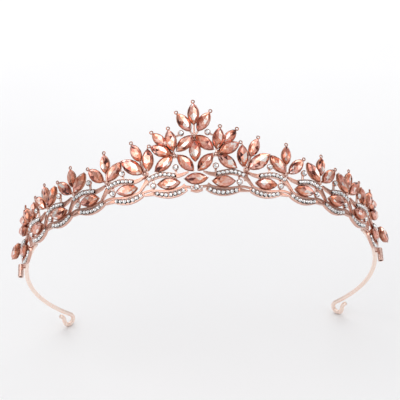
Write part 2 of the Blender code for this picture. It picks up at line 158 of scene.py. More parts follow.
# The middle link's lower strands and cups.
CENTRE_UNDER_STRAND = (
    (-CENTRE_LINK_HALF, -1.5, 0.4, 0.1),
    (-CENTRE_LINK_HALF / 2, -1.9, 0.5, 0.14),
    (0.0, -2.0, 0.5, 0.14),
    (CENTRE_LINK_HALF / 2, -1.9, 0.5, 0.14),
    (CENTRE_LINK_HALF, -1.5, 0.4, 0.1),
)
CENTRE_LOW_BAR = ((-2.3, -3.3, 0.3, 0.05), (0.0, -3.75, 0.45, 0.1), (2.3, -3.3, 0.3, 0.05))
CENTRE_CUP_AT = (0.0, -2.1)
SMALL_CUP_AT = (1.9, -2.3)
SMALL_CUP_RADIUS = 0.6
SMALL_CUP_STONE = 0.55

# Rows of small clear stones.
PAVE_RADIUS = 0.84
PAVE_PITCH = 1.68
PAVE_RAISED = 0.06
PAVE_EDGE = 0.18
PAVE_PATH_STEPS = 24
GRAIN_FROM_EDGE = 0.42
GRAIN_RAISED = 0.04
GRAIN_RADII = (0.22, 0.2, 0.24)

# Stones and settings.
STONE_LENGTH = 8.4
STONE_WIDTH = 4.2
STONE_FILLS = 1.05
LARGE_STONE_LENGTH = 10.0
RIM = 0.2
OUTLINE_POINTS = 16
SHARP_EDGE = 38.0

# Heights in a leaf-shaped stone, and shares of its outline.
GIRDLE_LOW = 1.45
GIRDLE_HIGH = 1.68
CROWN_BREAK = 2.1
TABLE = 2.55
KEEL = 2.4
STONE_FOOT = 0.7
BREAK_SCALE = (0.86, 0.82)
TABLE_SCALE = (0.72, 0.66)
KEEL_PLACES = (0.2, 0.0, -0.2)
FOOT_PLACES = (0.25, -0.25)

# A small round stone, as shares of its radius.
ROUND_SIDES = 8
ROUND_TABLE = 0.6
ROUND_TABLE_HEIGHT = 0.42
ROUND_DISH_HEIGHT = 0.3
ROUND_DEPTH = 0.6

# A collet's section as (outward from the stone's outline, height, scale along the crown).
COLLET_LAYERS = (
    (0.0, -0.1, 0.84),
    (0.1, 0.15, 0.96),
    (RIM, 1.0, 1.0),
    (RIM, 1.4, 1.0),
    (RIM * 0.8, 1.55, 1.0),
    (0.02, 1.76, 1.0),
    (-0.06, 1.74, 1.0),
    (-0.12, 1.4, 1.0),
    (-0.3, 0.5, 0.8),
)
COLLET_HOLLOW = ((0.5, 0.3), (0.55, -0.1))
END_GRAIN_OUT = 0.12
END_GRAIN_HEIGHT = 1.6
END_GRAIN_RADII = (0.3, 0.24, 0.3)
RING_RADIUS = 0.6
RING_WIRE = 0.22
RING_STEPS = 14
RING_WIRE_SIDES = 7
RING_OVERLAP = 0.05
RING_HEIGHT = 1.25

# Sections as (share of the radius, height).
CUP_RADIUS = 1.25
CUP_LAYERS = ((0.62, 0.0), (0.9, 0.35), (1.0, 1.1), (0.97, 1.3), (0.84, 1.32), (0.7, 0.9))
CUP_SIDES = 16
CUP_GRAINS = 6
CUP_GRAIN_OUT = 0.9
CUP_GRAIN_HEIGHT = 1.34
CUP_GRAIN_RADII = (0.2, 0.16, 0.2)
CUP_STONE_FILLS = 0.93
CUP_STONE_HEIGHT = 1.3
HUB_RADIUS = 0.95
HUB_SIDES = 14
HUB_LAYERS = ((0.95, -0.1), (1.0, 0.5), (0.85, 0.95), (0.5, 1.25), (0.15, 1.35))

# Ribs between a hub and its petals, as half a round section.
RIB_HALF_WIDTH = 0.4
RIB_FRONT = 0.85
RIB_GOES_UNDER = 1.0
RIB_PROFILE = ((-1.0, 0.0), (-1.0, 0.5), (-0.6, 0.88), (0.0, 1.0), (0.6, 0.88), (1.0, 0.5), (1.0, 0.0))
EASED_EDGE = 0.12

# Tones of the metal, from 0 for the darkest. The low tones of collets, tip rings and cups are painted
# shade.
PLAIN_TONE = (0.5,)
COLLET_SHADE_TONE = (0.1,)
CUP_SHADE_TONE = (0.15,)
# Round a strand's section: wall, eased edge, rim, groove and back again, then the flat back. The darker
# walls and groove are painted shade.
STRAND_SHADE_TONES = (0.38, 0.46, 0.55, 0.1, 0.25, 0.1, 0.55, 0.46, 0.38, 0.42)

# Tones of the facets, from 0 for black to 1 for a white flash. They paint the stones' reflections: flashes
# are painted highlights and dark patches painted shade. Angles here are radians.
FACET_TONE = 0.65
FACET_JITTER = (-0.12, 0.11)
STONE_JITTER = (-0.06, 0.05)
TIPS_DEEPEN = 0.3
FLASH_WIDTHS = (0.0, 0.5, 0.8, 1.0, 1.2)
FLASH_TONES = (0.84, 1.0)
SHADE_WIDTHS = (0.15, 0.65)
SHADE_DEPTHS = (0.2, 0.62)
# Stray facets are painted dark or white as painted reflections.
STRAY_CHANCE = 0.13
STRAY_TONES = (0.1, 0.85, 1.0)
BLUSH_MIDDLE = 0.45
BLUSH_TO_TIP = 0.5
BLUSH_JITTER = (-0.25, 0.25)
HIDDEN_FACET = (0.25, 0.3)
# Tones of a clear stone's facets: the whites are painted flashes and the darks painted shade.
STAR_TONES = (0.1, 0.6, 0.95, 1.0)
KITE_TONES = (0.45, 0.9, 1.0, 1.0)
ROUND_TABLE_TONES = (0.6, 0.95, 1.0, 1.0)
ROUND_BACK_TONE = 0.2

# Petals are (direction from the hub, distance to the stone's middle, its own tilt, its length).
CENTRE_HUB = (0.0, 18.4)
CENTRE_PETALS = (
    (90.0, 9.05, 90.0, STONE_LENGTH),
    (121.7, 6.8, 123.5, STONE_LENGTH),
    (58.3, 6.8, 56.5, STONE_LENGTH),
    (217.2, 4.6, 221.5, STONE_LENGTH),
    (322.8, 4.6, 318.5, STONE_LENGTH),
    (270.0, 5.9, 270.0, STONE_LENGTH),
)
SIDE_HUB = (7.8, 11.1)
SIDE_PETALS = (
    (81.0, 6.2, 81.0, STONE_LENGTH),
    (53.0, 8.7, 49.0, 7.1),
    (26.0, 5.5, 28.0, STONE_LENGTH),
    (323.0, 5.1, 323.5, STONE_LENGTH),
    (219.5, 5.35, 229.0, STONE_LENGTH),
)
RINGED_PETALS = 3
ROUND_BETWEEN_PETALS = (4.9, 19.9)
ROUND_STEM = ((5.6, 19.6), (7.6, 18.7))
FANS_PER_SIDE = 5
FIRST_FAN_AT = 19.5
FAN_PITCH = 16.1
LAST_FAN_AT = 82.5
FAN_HUB_HEIGHT = 5.2
FAN_OUTER = (42.0, 5.6, 48.0, STONE_LENGTH)
FAN_INNER = (139.0, 5.1, 135.0, STONE_LENGTH)
FAN_MIDDLE = (92.0, 7.55, 91.0, 7.2)
FAN_MIDDLE_REACH_DROP = 0.95
FAN_MIDDLE_LENGTH_DROP = 0.35
FIRST_FAN = (
    (36.5, 5.9, 38.5, LARGE_STONE_LENGTH),
    (73.0, 9.35, 68.5, 7.6),
    (107.0, 5.6, 92.5, STONE_LENGTH),
)
LAST_FAN = (
    (28.0, 7.0, 20.0, STONE_LENGTH),
    (60.0, 4.6, 80.0, 6.6),
    (143.0, 5.0, 122.0, 6.6),
    (2.0, 9.9, 8.0, STONE_LENGTH),
)
ROUND_AFTER_FIRST_FAN = 9.0
ROUND_AFTER_FAN = 7.6
FAN_FOOT_HALF_WIDTH = 0.8
FAN_FOOT_BOTTOM = 1.0
FAN_FOOT_BACK = -1.1
FAN_FOOT_FRONT = -0.4
FAN_BLOCK_HALF_WIDTH = 1.1
FAN_BLOCK_BELOW = 0.35
FAN_BLOCK_ABOVE = 0.8
FAN_BLOCK_FRONT = 0.6

# The leaf at each end of the crown, and its strut.
END_LEAF = (104.2, 1.2, -25.0)
END_LEAF_OUT = 2.1
END_LEAF_LEAN = 16.0
STRUT_BESIDE_LEAF = 1.0
STRUT_HALF_WIDTH = 0.6
STRUT_SPAN = (-0.4, 1.2)
STRUT_BACK = 0.5
STRUT_PAST_LEAF = 0.2

# Wire arms and end tubes.
WIRE_RADIUS = 0.95
WIRE_SIDES = 20
ROUNDED_END = ((0.3, 0.3), (0.75, 0.18), (1.0, 0.0))
ARM_STARTS_AT = 87.0
ARM_BEHIND = -1.4
ARM_HEIGHT = -3.0
ARM_SOLDERED_LENGTH = 9.0
ARM_FREE_LENGTH = 75.5
ARM_BEND_RADIUS = 130.0
ARM_END_RADIUS = 59.0
ARM_STEP = 0.25
ARM_STEPS_PER_POINT = 6
EYE_STEPS = 6
EYE_PLANE = -54.0
EYE_PATH = (
    (1.6, 0.0),
    (3.4, 0.05),
    (5.1, 0.8),
    (5.9, 2.5),
    (5.2, 4.3),
    (3.4, 5.1),
    (1.6, 4.3),
    (0.3, 3.2),
    (-1.0, 2.7),
    (-2.4, 2.6),
)
TUBE_AT = (107.9, -3.4, 1.6)
TUBE_RADIUS = 1.2
TUBE_BORE = 0.75
TUBE_LENGTH = 5.6
TUBE_EASE = 0.1
TUBE_SIDES = 24
SADDLE_HALF_WIDTH = 0.45
SADDLE_BESIDE_TUBE = 0.2
SADDLE_BELOW_TOP = (2.4, 0.3)

# The camera, as seen from the ring.
VIEW_BELOW_RING = 26.4
VIEW_DISTANCE = 487.0
VIEW_TURN = -0.2
VIEW_ROLL = 2.54
LENS = 114.45
SHIFT = (0.009, -0.044)
CLIP_START = 0.01

# The studio, in metres and watts.
FLOOR_REACH = 4.0
TENT_STRENGTH = 0.72
LIGHTS = (
    ("key", (-0.5, -0.5, 0.9), (0.0, 0.0, 0.03), (0.9, 0.7), 3.0),
    ("fill", (0.7, -0.4, 0.5), (0.0, 0.0, 0.03), (0.5, 0.5), 1.0),
    ("back", (0.0, 0.75, 0.6), (0.0, 0.6, 0.0), (1.2, 0.5), 3.8),
)


# Places on the crown.


def crown_point(s, h, d):
    """The place (s, h, d) in millimetres from the middle of the ring."""
    flare = math.radians(FLARE)
    angle = s / BAND_RADIUS
    out = BAND_RADIUS + h * math.sin(flare) + d * math.cos(flare)
    up = h * math.cos(flare) - d * math.sin(flare)
    return Vector((out * math.sin(angle), -out * math.cos(angle), up))


def crown_frame(s, h, turn=0.0, d=0.0):
    """Axes at a place on the crown: X turned by turn from the band, Z outward."""
    flare = math.radians(FLARE)
    angle = s / BAND_RADIUS
    along = Vector((math.cos(angle), math.sin(angle), 0.0))
    level = Vector((math.sin(angle), -math.cos(angle), 0.0))
    outward = level * math.cos(flare) - Vector((0.0, 0.0, math.sin(flare)))
    frame = Matrix((along, outward.cross(along), outward)).transposed().to_4x4()
    turned = frame @ Matrix.Rotation(math.radians(turn), 4, "Z")
    return Matrix.Translation(crown_point(s, h, d)) @ turned


def from_hub(hub, petal):
    """Where a petal's stone lies on the crown, and how it is tilted."""
    direction, reach, tilt = petal[:3]
    turn = math.radians(direction)
    return hub[0] + reach * math.cos(turn), hub[1] + reach * math.sin(turn), tilt


def link_place(number):
    """A link's inner end, and how far it is raised."""
    start = CENTRE_LINK_HALF + LINK_LENGTH * (number - 1)
    if number == LINKS_PER_SIDE:
        return start + LAST_LINK_SHIFT[0], LAST_LINK_SHIFT[1]
    return start, 0.0


def fan_at(index):
    if index == FANS_PER_SIDE:
        return LAST_FAN_AT
    return FIRST_FAN_AT + FAN_PITCH * (index - 1)


def round_after_fan(index):
    return fan_at(index) + (ROUND_AFTER_FIRST_FAN if index == 1 else ROUND_AFTER_FAN)


def fan_petals(index):
    """The petals of a fan, whose middle one is lower and shorter towards the ends of the band."""
    if index == 1:
        return FIRST_FAN
    if index == FANS_PER_SIDE:
        return LAST_FAN
    direction, reach, tilt, length = FAN_MIDDLE
    reach -= FAN_MIDDLE_REACH_DROP * (index - 2)
    length -= FAN_MIDDLE_LENGTH_DROP * (index - 2)
    return (FAN_OUTER, (direction, reach, tilt, length), FAN_INNER)


def smooth_path(points, steps):
    """A smooth curve through points of any number of values."""
    points = [Vector(point) for point in points]
    padded = [2 * points[0] - points[1], *points, 2 * points[-1] - points[-2]]
    curve = []
    for i in range(len(points) - 1):
        before, start, end, after = padded[i : i + 4]
        for step in range(steps):
            t = step / steps
            curve.append(
                start * (2 * t**3 - 3 * t**2 + 1)
                + (end - before) * (0.5 * (t**3 - 2 * t**2 + t))
                + end * (3 * t**2 - 2 * t**3)
                + (after - start) * (0.5 * (t**3 - t**2))
            )
    curve.append(points[-1])
    return curve


# Gathering and finishing meshes.


class Shape:
    """Points and faces of one piece, in millimetres round the middle of the ring.

    Each face has a tone and a blush, which its material turns into a colour.
    """

    def __init__(self):
        self.points = []
        self.faces = []
        self.tones = []

    def add(self, points, faces, tones):
        base = len(self.points)
        self.points += [tuple(point) for point in points]
        self.faces += [[base + i for i in face] for face in faces]
        self.tones += tones

    def loft(self, rings, closed=False, tones=PLAIN_TONE):
        """Skins rings of points. It caps both ends, or joins the last ring to the first.

        The tones go round each ring.
        """
        count = len(rings[0])
        points = [point for ring in rings for point in ring]
        faces = []
        pairs = len(rings) if closed else len(rings) - 1
        for r in range(pairs):
            low, high = r * count, (r + 1) % len(rings) * count
            for i in range(count):
                j = (i + 1) % count
                faces.append((low + i, low + j, high + j, high + i))
        if not closed:
            faces.append(tuple(reversed(range(count))))
            faces.append(tuple(range((len(rings) - 1) * count, len(rings) * count)))
        self.add(points, faces, [(tones[i % len(tones)], 0.0) for i in range(len(faces))])


def placed(matrix, points):
    return [matrix @ Vector(point) for point in points]


def make_piece(name, shape, surface, stands_for=(), smooth=True, mirror=False):
    """Turns a shape into a piece of the tiara in its worn pose."""
    side = Matrix.Scale(-1.0, 4, (1.0, 0.0, 0.0)) if mirror else Matrix()
    pose = Matrix.Rotation(-math.radians(FRONT_RAISED), 4, "X") @ side
    mesh = bpy.data.meshes.new(name)
    mesh.from_pydata([pose @ Vector(point) * MM for point in shape.points], [], shape.faces)
    for i, word in enumerate(("tone", "blush")):
        layer = mesh.attributes.new(word, "FLOAT", "FACE")
        layer.data.foreach_set("value", [tone[i] for tone in shape.tones])
    filled = bmesh.new()
    filled.from_mesh(mesh)
    bmesh.ops.recalc_face_normals(filled, faces=filled.faces)
    filled.to_mesh(mesh)
    filled.free()
    mesh.materials.append(surface)
    if smooth:
        mesh.shade_smooth()
        mesh.set_sharp_from_angle(angle=math.radians(SHARP_EDGE))
    else:
        mesh.shade_flat()
    obj = bpy.data.objects.new(name, mesh)
    bpy.context.scene.collection.objects.link(obj)
    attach(obj, "root")
    if stands_for:
        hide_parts(*stands_for)


# Outlines.


def pointed_oval(length, width, z=0.0):
    """Two arcs that meet in points at both ends."""
    half, side = length / 2, width / 2
    radius = (half**2 + side**2) / (2 * side)
    ring = []
    for i in range(OUTLINE_POINTS):
        x = half * math.cos(2 * math.pi * i / OUTLINE_POINTS)
        y = math.sqrt(radius**2 - x**2) - radius + side
        ring.append(Vector((x, y if i <= OUTLINE_POINTS // 2 else -y, z)))
    return ring


def circle(radius, z, count, turn=0.0):
    steps = [2 * math.pi * i / count + turn for i in range(count)]
    return [Vector((radius * math.cos(a), radius * math.sin(a), z)) for a in steps]


# Stones.


def leaf_tones(centres, inner_from, rng):
    """A (tone, blush) for each facet: deep towards the edges, with a patch of painted highlight and one of
    painted shade.

    Facets from inner_from on lie under the table.
    """
    flash = rng.uniform(0.0, 2 * math.pi)
    shade = flash + rng.uniform(0.6, 1.4) * math.pi
    flash_width = rng.choice(FLASH_WIDTHS)
    shade_width = rng.uniform(*SHADE_WIDTHS)
    stone_tone = FACET_TONE + rng.uniform(*STONE_JITTER)
    pink_end = rng.choice((-1.0, 1.0))
    tones = []
    for i, (u, v) in enumerate(centres):
        turn = math.atan2(v, u * 1.3)
        off_flash = abs(math.remainder(turn - flash, 2 * math.pi))
        off_shade = abs(math.remainder(turn - shade, 2 * math.pi))
        out = max(abs(u), 0.9 * math.hypot(u, v))
        tone = stone_tone - TIPS_DEEPEN * out**3 + rng.uniform(*FACET_JITTER)
        # Facets in the flash are painted white as a highlight, those in the shade are painted darker, and a
        # few strays are painted dark or white as reflections.
        if i >= inner_from and off_flash < flash_width:
            tone = rng.uniform(*FLASH_TONES)
        elif off_shade < shade_width:
            tone -= rng.uniform(*SHADE_DEPTHS)
        elif i < inner_from and rng.random() < STRAY_CHANCE:
            tone = rng.choice(STRAY_TONES)
        blush = BLUSH_MIDDLE + BLUSH_TO_TIP * pink_end * u + rng.uniform(*BLUSH_JITTER)
        tones.append((tone, min(1.0, max(0.0, blush))))
    return tones


def at_scale(point, scale, z):
    return Vector((point.x * scale[0], point.y * scale[1], z))


def leaf_stone(shape, matrix, length, rng):
    """A navette cut: girdle facets and kites round a table, with the keel showing in it."""
    length *= STONE_FILLS
    width = length * STONE_WIDTH / STONE_LENGTH
    outline = pointed_oval(length, width)
    girdle = [Vector((p.x, p.y, GIRDLE_HIGH)) for p in outline]
    below = [Vector((p.x, p.y, GIRDLE_LOW)) for p in outline]
    mains = [at_scale(p, BREAK_SCALE, CROWN_BREAK) for p in outline[0::2]]
    table = [at_scale(p, TABLE_SCALE, TABLE) for p in outline[1::2]]
    keel = [Vector((x * length, 0.0, KEEL)) for x in KEEL_PLACES]
    foot = [Vector((x * length, 0.0, STONE_FOOT)) for x in FOOT_PLACES]
    points = girdle + mains + table + keel + below + foot
    # The first point of each of those, in the same order.
    g, m, t, k, b, f = 0, 16, 24, 32, 35, 51
    crown = []
    for i in range(8):
        j = (i + 1) % 8
        crown.append((g + 2 * i, g + 2 * i + 1, m + i))
        crown.append((g + 2 * i + 1, g + (2 * i + 2) % 16, m + j))
        crown.append((g + 2 * i + 1, m + j, t + i, m + i))
        crown.append((t + i, m + j, t + j))
    inner = [
        (t + 7, t, k),
        (t, t + 1, k),
        (t + 1, k + 1, k),
        (t + 1, t + 2, k + 1),
        (t + 2, k + 2, k + 1),
        (t + 2, t + 3, k + 2),
        (t + 3, t + 4, k + 2),
        (t + 4, t + 5, k + 2),
        (t + 5, k + 1, k + 2),
        (t + 5, t + 6, k + 1),
        (t + 6, k, k + 1),
        (t + 6, t + 7, k),
    ]
    hidden = []
    for i in range(16):
        j = (i + 1) % 16
        hidden.append((g + i, b + i, b + j, g + j))
        near = f if i < 4 or i > 11 else f + 1
        hidden.append((b + i, near, b + j))
    hidden.append((b + 4, f, f + 1))
    hidden.append((b + 12, f + 1, f))
    centres = []
    for face in crown + inner:
        centre = sum((points[i] for i in face), Vector()) / len(face)
        centres.append((centre.x / (length / 2), centre.y / (width / 2)))
    tones = leaf_tones(centres, len(crown), rng) + [HIDDEN_FACET] * len(hidden)
    shape.add(placed(matrix, points), crown + inner + hidden, tones)


def round_stone(shape, matrix, radius, rng, z):
    """A small clear brilliant: a table with a slight dish, crown facets and a pointed back."""
    n = ROUND_SIDES
    girdle = circle(radius, z, n)
    table = circle(radius * ROUND_TABLE, z + radius * ROUND_TABLE_HEIGHT, n, math.pi / n)
    middle = [Vector((0.0, 0.0, z + radius * ROUND_DISH_HEIGHT))]
    back = [Vector((0.0, 0.0, z - radius * ROUND_DEPTH))]
    faces, tones = [], []
    for i in range(n):
        j = (i + 1) % n
        faces += [(i, j, n + i), (j, n + j, n + i), (n + i, n + j, 2 * n), (j, i, 2 * n + 1)]
        # Random facet tones paint white flashes and dark reflections onto the clear stone.
        tones += [rng.choice(STAR_TONES), rng.choice(KITE_TONES)]
        tones += [rng.choice(ROUND_TABLE_TONES), ROUND_BACK_TONE]
    tones = [(tone, 0.0) for tone in tones]
    shape.add(placed(matrix, girdle + table + middle + back), faces, tones)


# Metal.


def bead(shape, matrix, radii, sides=8, rings=5):
    """A rounded grain of metal."""
    layers = []
    for r in range(rings):
        lift = math.pi * (r + 0.5) / rings - math.pi / 2
        out, up = math.cos(lift), math.sin(lift)
        layer = []
        for i in range(sides):
            a = 2 * math.pi * i / sides
            layer.append((radii[0] * out * math.cos(a), radii[1] * out * math.sin(a), radii[2] * up))
        layers.append(placed(matrix, layer))
    shape.loft(layers)


def tip_ring(shape, matrix):
    """The small open ring at the tip of a petal."""
    rings = []
    for i in range(RING_STEPS):
        a = 2 * math.pi * i / RING_STEPS
        around = Vector((math.cos(a), math.sin(a), 0.0))
        section = []
        for j in range(RING_WIRE_SIDES):
            b = 2 * math.pi * j / RING_WIRE_SIDES
            point = around * (RING_RADIUS + RING_WIRE * math.cos(b))
            section.append(matrix @ (point + Vector((0.0, 0.0, RING_WIRE * math.sin(b)))))
        rings.append(section)
    # The ring takes the collets' low tone, which is painted shade.
    shape.loft(rings, closed=True, tones=COLLET_SHADE_TONE)


def leaf_setting(shape, matrix, length, ringed=False):
    """A collet round a leaf-shaped stone, with a grain over each end of the stone."""
    length *= STONE_FILLS
    width = length * STONE_WIDTH / STONE_LENGTH
    rings = []
    for k, z in COLLET_HOLLOW:
        rings.append(placed(matrix, pointed_oval(length * k, width * k, z)))
    for grow, z, scale in COLLET_LAYERS:
        outline = pointed_oval((length + 2 * grow) * scale, (width + 2 * grow) * scale, z)
        rings.append(placed(matrix, outline))
    # The collet gets a low tone: painted shade.
    shape.loft(rings, tones=COLLET_SHADE_TONE)
    for end in (-1, 1):
        grain = Matrix.Translation((end * (length / 2 + END_GRAIN_OUT), 0.0, END_GRAIN_HEIGHT))
        bead(shape, matrix @ grain, END_GRAIN_RADII)
    if ringed:
        tip_at = length / 2 + RIM + RING_RADIUS - RING_OVERLAP
        tip_ring(shape, matrix @ Matrix.Translation((tip_at, 0.0, RING_HEIGHT)))


def round_cup(shape, matrix, radius=CUP_RADIUS):
    """A round collet with grains round its stone."""
    rings = [placed(matrix, circle(radius * k, z, CUP_SIDES)) for k, z in CUP_LAYERS]
    # The cup gets a low tone: painted shade.
    shape.loft(rings, tones=CUP_SHADE_TONE)
    for i in range(CUP_GRAINS):
        turn = Matrix.Rotation(2 * math.pi * (i + 0.5) / CUP_GRAINS, 4, "Z")
        out = Matrix.Translation((radius * CUP_GRAIN_OUT, 0.0, CUP_GRAIN_HEIGHT))
        bead(shape, matrix @ turn @ out, CUP_GRAIN_RADII, 6, 4)


def strand_body(shape, controls, front):
    """A band with raised rims along both edges, following the crown."""
    path = smooth_path(controls, STRAND_STEPS)
    rings = []
    for i, (s, h, half, groove) in enumerate(path):
        ahead = path[min(i + 1, len(path) - 1)]
        behind = path[max(i - 1, 0)]
        across = Vector((behind.y - ahead.y, ahead.x - behind.x)).normalized()
        rim = min(LARGEST_RIM, half / FULL_RIM_FROM)
        profile = (
            (-half, 0.0),
            (-half, front - EASED_DEPTH),
            (-half + RIM_STARTS * rim, front),
            (-half + RIM_ENDS * rim, front),
            (-half + GROOVE_STARTS * rim, front - groove),
            (half - GROOVE_STARTS * rim, front - groove),
            (half - RIM_ENDS * rim, front),
            (half - RIM_STARTS * rim, front),
            (half, front - EASED_DEPTH),
            (half, 0.0),
        )
        rings.append([crown_point(s + across.x * a, h + across.y * a, d) for a, d in profile])
    # The walls and groove get darker tones than the rims: painted shade.
    shape.loft(rings, tones=STRAND_SHADE_TONES)


def pave_places(controls, span):
    """Evenly spaced places along a strand, as (distance, height, direction, half width)."""
    path = smooth_path(controls, PAVE_PATH_STEPS)
    path = [point for point in path if span[0] <= point.x <= span[1]]
    gone = [0.0]
    for first, second in zip(path, path[1:]):
        gone.append(gone[-1] + math.hypot(second.x - first.x, second.y - first.y))
    count = round(gone[-1] / PAVE_PITCH)
    places = []
    for k in range(count):
        wanted = (k + 0.5) * gone[-1] / count
        i = min(range(len(gone)), key=lambda n: abs(gone[n] - wanted))
        ahead = path[min(i + 1, len(path) - 1)]
        behind = path[max(i - 1, 0)]
        turn = math.degrees(math.atan2(ahead.y - behind.y, ahead.x - behind.x))
        places.append((path[i].x, path[i].y, turn, path[i].z))
    return places


def pave(metal, clear, start, rise, controls, span, front, rng):
    """A row of clear stones with grains of metal between them."""
    for u, h, turn, half in pave_places(controls, span):
        frame = crown_frame(start + u, h + rise, turn)
        radius = min(PAVE_RADIUS, half - PAVE_EDGE)
        round_stone(clear, frame, radius, rng, front + PAVE_RAISED)
        for side in (-1, 1):
            across = side * (half - GRAIN_FROM_EDGE)
            spot = Matrix.Translation((PAVE_PITCH / 2, across, front + GRAIN_RAISED))
            bead(metal, frame @ spot, GRAIN_RADII, 6, 3)


def rib(shape, start, end):
    """A narrow half-round bar between two places on the crown."""
    along = (Vector(end) - Vector(start)).normalized()
    across = Vector((-along.y, along.x)) * RIB_HALF_WIDTH
    rings = []
    for s, h in (start, end):
        ring = [crown_point(s + across.x * a, h + across.y * a, d * RIB_FRONT) for a, d in RIB_PROFILE]
        rings.append(ring)
    shape.loft(rings)


def hub(shape, place):
    """The domed boss that the petals spring from."""
    frame = crown_frame(*place)
    shape.loft([placed(frame, circle(k * HUB_RADIUS, z, HUB_SIDES)) for k, z in HUB_LAYERS])


def upright(shape, s, half, bottom, top, back, front):
    """A bar up the crown with its front edges eased."""
    profile = (
        (-half, back),
        (half, back),
        (half, front - EASED_EDGE),
        (half - EASED_EDGE, front),
        (EASED_EDGE - half, front),
        (-half, front - EASED_EDGE),
    )
    shape.loft([[crown_point(s + a, h, d) for a, d in profile] for h in (bottom, top)])


def sweep(points, radius, sides):
    """Rings of a round wire along points, with rounded ends."""
    rings = []
    side = None
    last = len(points) - 1
    for i, point in enumerate(points):
        tangent = (points[min(i + 1, last)] - points[max(i - 1, 0)]).normalized()
        side = side or tangent.orthogonal().normalized()
        side = (side - tangent * side.dot(tangent)).normalized()
        other = tangent.cross(side)
        turns = [2 * math.pi * k / sides for k in range(sides)]
        spokes = [side * math.cos(a) + other * math.sin(a) for a in turns]
        if 0 < i < last:
            rings.append([point + spoke * radius for spoke in spokes])
            continue
        out = -tangent if i == 0 else tangent
        cap = []
        for k, lift in ROUNDED_END:
            middle = point + out * lift * radius
            cap.append([middle + spoke * k * radius for spoke in spokes])
        rings += cap if i == 0 else list(reversed(cap))
    return rings


# The pieces.


def link_shapes(number, rng):
    """The casting and clear stones of one link on the +X side."""
    start, rise = link_place(number)
    metal, clear = Shape(), Shape()
    leaf_setting(metal, crown_frame(start + MARQUISE_FROM_LINK_START, rise), STONE_LENGTH)
    strands = (
        (INNER_STRAND, INNER_FRONT, None),
        (UPPER_STRAND, STRAND_FRONT, UPPER_PAVE),
        (LOWER_STRAND, STRAND_FRONT + LOWER_STRAND_FORWARD, LOWER_PAVE),
    )
    for controls, front, span in strands:
        moved = [(start + u, h + rise, half, groove) for u, h, half, groove in controls]
        strand_body(metal, moved, front)
        if span:
            pave(metal, clear, start, rise, controls, span, front, rng)
    u, h = BESIDE_MARQUISE
    set_round(metal, clear, crown_frame(start + u, h + rise), rng)
    for tied in (MARQUISE_FROM_LINK_START, u):
        bottom, top = TIE_BOTTOM + rise, TIE_TOP + rise
        upright(metal, start + tied, TIE_HALF_WIDTH, bottom, top, 0.0, TIE_FRONT)
    if number < LINKS_PER_SIDE:
        single = BELOW_SIDE_FLOWER
        if number > 1:
            single = (round_after_fan(number - 1) - start, ABOVE_ARC_HEIGHT)
        u, h = single
        set_round(metal, clear, crown_frame(start + u, h, 0.0, ABOVE_ARC_OUT), rng)
        top = h - STEM_BELOW_STONE
        upright(metal, start + u, STEM_HALF_WIDTH, STEM_BOTTOM, top, STEM_BACK, STEM_FRONT)
    return metal, clear


def set_round(metal, clear, frame, rng):
    """A round clear stone in its cup."""
    round_cup(metal, frame)
    round_stone(clear, frame, CUP_RADIUS * CUP_STONE_FILLS, rng, CUP_STONE_HEIGHT)


def centre_shapes(rng):
    """The casting and clear stones of the middle link."""
    metal, clear = Shape(), Shape()
    leaf_setting(metal, crown_frame(0.0, CENTRE_STONE_RAISED), STONE_LENGTH)
    strand_body(metal, CENTRE_UNDER_STRAND, INNER_FRONT)
    strand_body(metal, CENTRE_LOW_BAR, STRAND_FRONT)
    set_round(metal, clear, crown_frame(*CENTRE_CUP_AT), rng)
    for side in (-1, 1):
        frame = crown_frame(side * SMALL_CUP_AT[0], SMALL_CUP_AT[1])
        round_cup(metal, frame, SMALL_CUP_RADIUS)
        round_stone(clear, frame, SMALL_CUP_STONE, rng, CUP_STONE_HEIGHT)
    return metal, clear


def petal_settings(metal, hub_place, petals, ringed):
    """Settings round a hub, and the ribs that hold them."""
    for number, petal in enumerate(petals):
        length = petal[3]
        s, h, tilt = from_hub(hub_place, petal)
        leaf_setting(metal, crown_frame(s, h, tilt), length, number in ringed)
        middle = Vector((s, h)) - Vector(hub_place)
        near_end = middle.length - length / 2 + RIB_GOES_UNDER
        end = Vector(hub_place) + middle * (near_end / middle.length)
        rib(metal, hub_place, tuple(end))


# Finished pieces of each material.


def add_casting(materials, name, shape, stands_for=(), mirror=False):
    """Plated metal."""
    make_piece("casting_" + name, shape, materials["gold"], stands_for, mirror=mirror)


def add_clear(materials, name, shape, mirror=False):
    """Clear round stones."""
    surface = materials["clear"]
    make_piece(name, shape, surface, smooth=False, mirror=mirror)


def add_champagne(materials, name, shape, stands_for=(), mirror=False):
    """Champagne leaf-shaped stones."""
    surface = materials["champagne"]
    make_piece(name, shape, surface, stands_for, smooth=False, mirror=mirror)


def add_stone(materials, name, frame, length=STONE_LENGTH):
    shape = Shape()
    leaf_stone(shape, frame, length, random.Random(name))
    add_champagne(materials, "gem_" + name, shape, (name,))


def add_links(materials):
    """The band: the middle link, six more on each side, and a leaf at each end."""
    metal, clear = centre_shapes(random.Random("centre"))
    add_casting(materials, "centre", metal, ("link_centre",))
    add_clear(materials, "rounds_centre", clear)
    add_stone(materials, "stone_link_centre", crown_frame(0.0, CENTRE_STONE_RAISED))
    for number in range(1, LINKS_PER_SIDE + 1):
        start, rise = link_place(number)
        for side, word in ((1, "right"), (-1, "left")):
            rng = random.Random(f"link {word} {number}")
            metal, clear = link_shapes(number, rng)
            mirror = side < 0
            if number == LINKS_PER_SIDE:
                add_end_leaf(materials, metal, word, rng, mirror)
            node = f"link_{word}_{number}"
            add_casting(materials, node, metal, (node,), mirror)
            add_clear(materials, "pave_" + node, clear, mirror)
            middle = crown_frame(side * (start + MARQUISE_FROM_LINK_START), rise)
            add_stone(materials, f"stone_link_{word}_{number}", middle)


